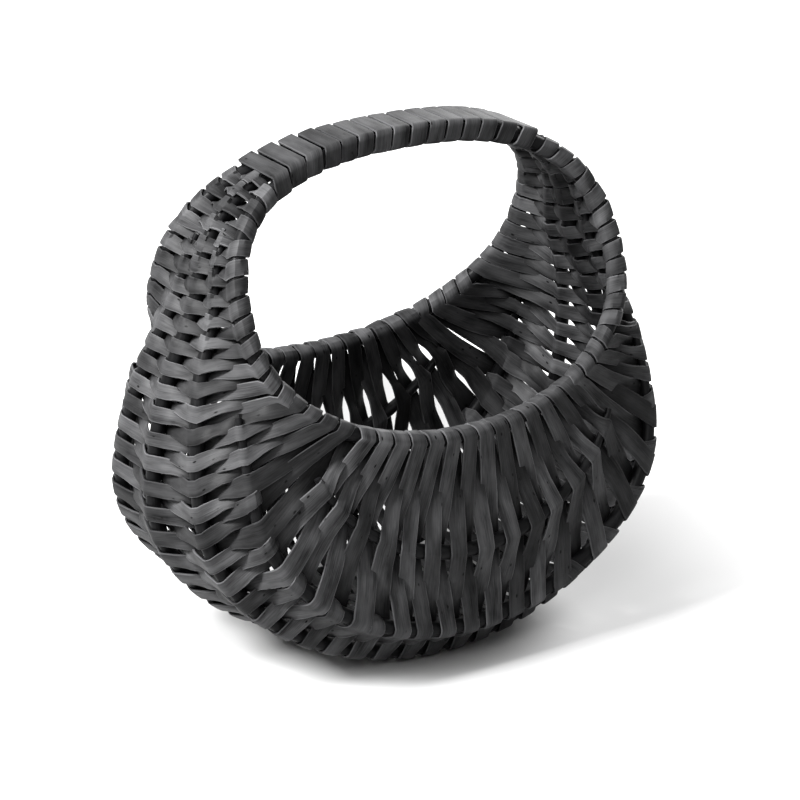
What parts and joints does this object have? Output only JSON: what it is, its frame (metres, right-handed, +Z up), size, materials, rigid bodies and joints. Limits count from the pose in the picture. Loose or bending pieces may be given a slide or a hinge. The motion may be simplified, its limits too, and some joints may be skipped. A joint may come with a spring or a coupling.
{
  "type": "willow flower basket",
  "caption": "Small oval willow flower basket with a fixed bound handle, splayed rod rims, bent rod ribs and a flat skein weave, stained black",
  "frame": {"origin": "middle of the basket on the surface it stands on", "axes": "+X along the handle, +Y from the pictured front rim to the back rim, +Z up"},
  "size_m": [0.2454, 0.1426, 0.2289],
  "materials": {
    "rod": "satin",
    "skein": "satin"
  },
  "bodies": {
    "root": {"front_hoop": "rod", "back_hoop": "rod", "front_rim_rib": "rod", "front_corner_rib": "rod", "front_floor_rib": "rod", "keel_rib": "rod", "back_floor_rib": "rod", "back_corner_rib": "rod", "back_rim_rib": "rod", "skein_01": "skein", "skein_02": "skein", "skein_03": "skein", "skein_04": "skein", "skein_05": "skein", "skein_06": "skein", "skein_07": "skein", "skein_08": "skein", "skein_09": "skein", "skein_10": "skein", "skein_11": "skein", "skein_12": "skein", "skein_13": "skein", "skein_14": "skein", "skein_15": "skein", "skein_16": "skein", "skein_17": "skein", "skein_18": "skein", "skein_19": "skein", "skein_20": "skein", "skein_21": "skein", "skein_22": "skein", "skein_23": "skein", "skein_24": "skein", "skein_25": "skein", "skein_26": "skein", "skein_27": "skein", "skein_28": "skein", "handle_binding_left": "skein", "handle_binding_right": "skein"}
  },
  "joints": []
}
